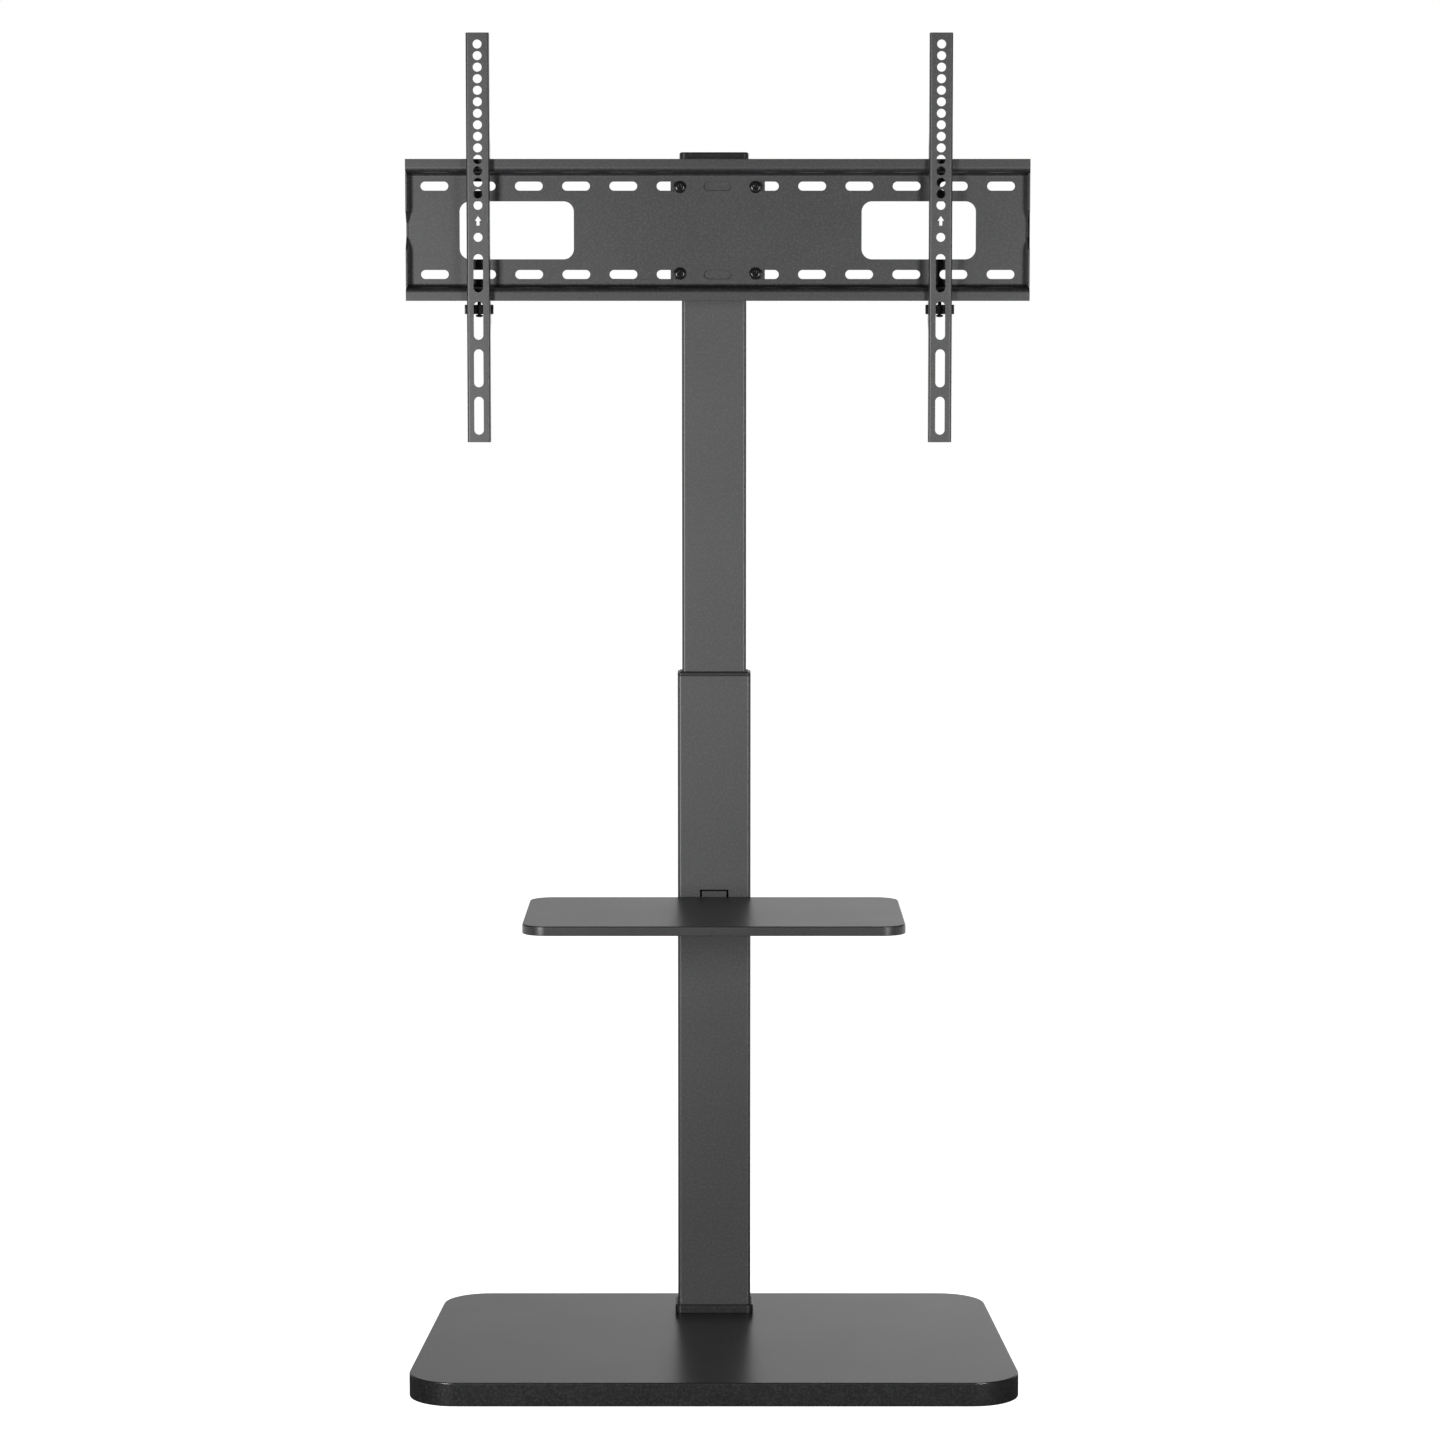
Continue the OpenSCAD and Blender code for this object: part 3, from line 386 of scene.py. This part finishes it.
def make_floor():
    """Plain floor, pale to the camera; to the object it is dark, with a glow behind and beside the stand."""
    half = FLOOR_HALF
    mesh = bpy.data.meshes.new("floor")
    corners = [(-half, -half, 0), (half, -half, 0), (half, half, 0), (-half, half, 0)]
    mesh.from_pydata(corners, [], [(0, 1, 2, 3)])
    floor = bpy.data.objects.new("floor", mesh)
    bpy.context.scene.collection.objects.link(floor)
    material = bpy.data.materials.new("pale_floor")
    material.use_nodes = True
    tree = material.node_tree
    shader = tree.nodes["Principled BSDF"]
    shader.inputs["Roughness"].default_value = FLOOR_ROUGHNESS
    shader.inputs["Specular IOR Level"].default_value = 0.0
    shader.inputs["Emission Color"].default_value = (1, 1, 1, 1)
    seen = add(tree, "ShaderNodeLightPath").outputs["Is Camera Ray"]
    tone = add(tree, "ShaderNodeMix", i0=seen, i2=FLOOR_BOUNCE, i3=FLOOR_TONE)
    tree.links.new(tone.outputs[0], shader.inputs["Base Color"])
    place = add(tree, "ShaderNodeSeparateXYZ", Vector=add(tree, "ShaderNodeTexCoord").outputs["Object"])
    aside = add(tree, "ShaderNodeMath", i0=place.outputs["X"])
    aside.operation = "ABSOLUTE"
    away = add(tree, "ShaderNodeMath", i0=aside.outputs[0], i1=SIDE_SHARE, i2=place.outputs["Y"])
    away.operation = "MULTIPLY_ADD"
    lit = spread(tree, away.outputs[0], 0.0, FLOOR_GLOW, GLOW_START, GLOW_FULL)
    glow = add(tree, "ShaderNodeMix", i0=seen, i2=lit, i3=FLOOR_WHITE)
    tree.links.new(glow.outputs[0], shader.inputs["Emission Strength"])
    mesh.materials.append(material)


def make_studio():
    bpy.context.scene.view_settings.view_transform = "Standard"
    make_camera()
    make_world()
    make_floor()
    for name, x, radiance in (("left_box", -BOX_X, LEFT_BOX), ("right_box", BOX_X, RIGHT_BOX)):
        soft_light(name, (x, BOX_Y, BOX_Z), (0, 0, BOX_Z), BOX_WIDTH, BOX_HEIGHT, radiance)


make_studio()
for name in frame["nodes"]:
    add_piece(name)
